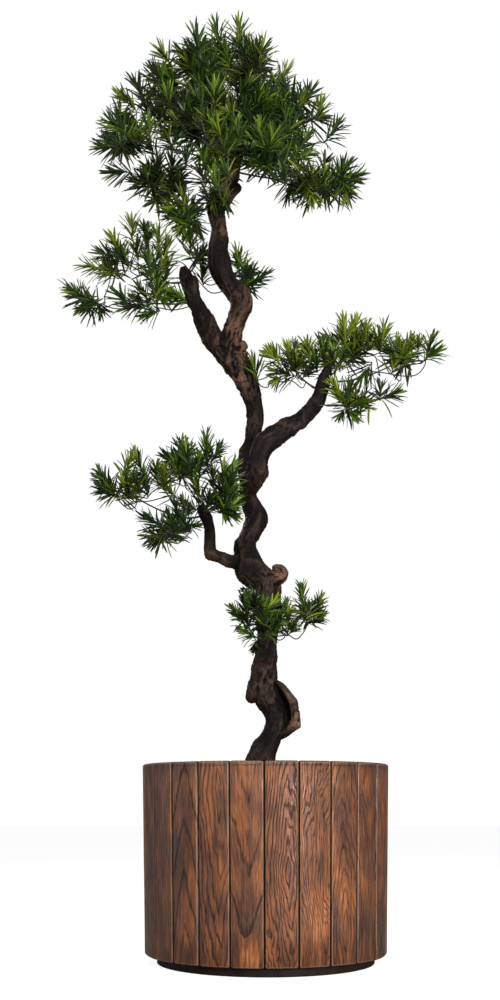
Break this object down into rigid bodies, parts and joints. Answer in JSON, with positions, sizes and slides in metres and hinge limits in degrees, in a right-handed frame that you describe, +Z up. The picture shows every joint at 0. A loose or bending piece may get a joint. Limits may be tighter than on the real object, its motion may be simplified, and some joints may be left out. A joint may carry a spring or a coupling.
{
  "type": "artificial podocarpus tree in round wood-stave planter",
  "caption": "Tall cloud-pruned artificial podocarpus with a twisting dark trunk and tiers of narrow green leaves, standing in a round planter of brown wooden staves.",
  "frame": {"origin": "middle of the flat underside of the planter's plinth", "axes": "+Z up along the planter's axis, -Y towards the viewer of the picture, +X to the viewer's right"},
  "size_m": [0.8635, 0.5094, 2.1406],
  "materials": {
    "stained_oak_1": "brown stained oak, wire-brushed, satin",
    "stained_oak_2": "darker brown stained oak, wire-brushed, satin",
    "stained_oak_3": "orange brown stained oak, wire-brushed, satin",
    "black_plinth": "black paint, matte",
    "dark_tub": "dark, matte",
    "potting_soil": "dark crumbly fill, matte",
    "dark_bark": "very dark brown weathered bark, satin on its ridges",
    "foliage_mid": "mid green leaves, satin",
    "foliage_bright": "yellow-green leaves, satin",
    "foliage_deep": "deep green leaves, satin"
  },
  "bodies": {
    "root": {"stave_01": "stained_oak_1", "stave_02": "stained_oak_3", "stave_03": "stained_oak_2", "stave_04": "stained_oak_1", "stave_05": "stained_oak_3", "stave_06": "stained_oak_2", "stave_07": "stained_oak_1", "stave_08": "stained_oak_3", "stave_09": "stained_oak_2", "stave_10": "stained_oak_1", "stave_11": "stained_oak_3", "stave_12": "stained_oak_2", "stave_13": "stained_oak_1", "stave_14": "stained_oak_3", "stave_15": "stained_oak_2", "stave_16": "stained_oak_1", "stave_17": "stained_oak_3", "stave_18": "stained_oak_2", "stave_19": "stained_oak_1", "stave_20": "stained_oak_3", "stave_21": "stained_oak_2", "stave_22": "stained_oak_1", "stave_23": "stained_oak_3", "stave_24": "stained_oak_2", "plinth": "black_plinth", "tub": "dark_tub", "soil": "potting_soil", "trunk": "dark_bark", "bough_right": "dark_bark", "bough_left": "dark_bark", "bough_low_arm": "dark_bark", "bough_low_riser": "dark_bark", "crown_top_left": "foliage_mid", "crown_top_right": "foliage_bright", "crown_high_left": "foliage_deep", "crown_left": "foliage_mid", "crown_low_left": "foliage_bright", "crown_high_right": "foliage_deep", "crown_low_right": "foliage_mid", "crown_front": "foliage_bright", "crown_front_right": "foliage_deep", "crown_back": "foliage_mid", "crown_back_right": "foliage_bright", "crown_hanging": "foliage_deep", "middle_far": "foliage_mid", "middle_high": "foliage_bright", "middle_near": "foliage_deep", "middle_inner": "foliage_mid", "middle_back": "foliage_bright", "right_inner": "foliage_deep", "right_high": "foliage_mid", "right_far": "foliage_bright", "right_low": "foliage_deep", "low_far": "foliage_mid", "low_high": "foliage_bright", "low_inner": "foliage_deep", "low_under": "foliage_mid", "base_front": "foliage_bright", "base_side": "foliage_deep", "base_back": "foliage_mid"}
  },
  "joints": []
}
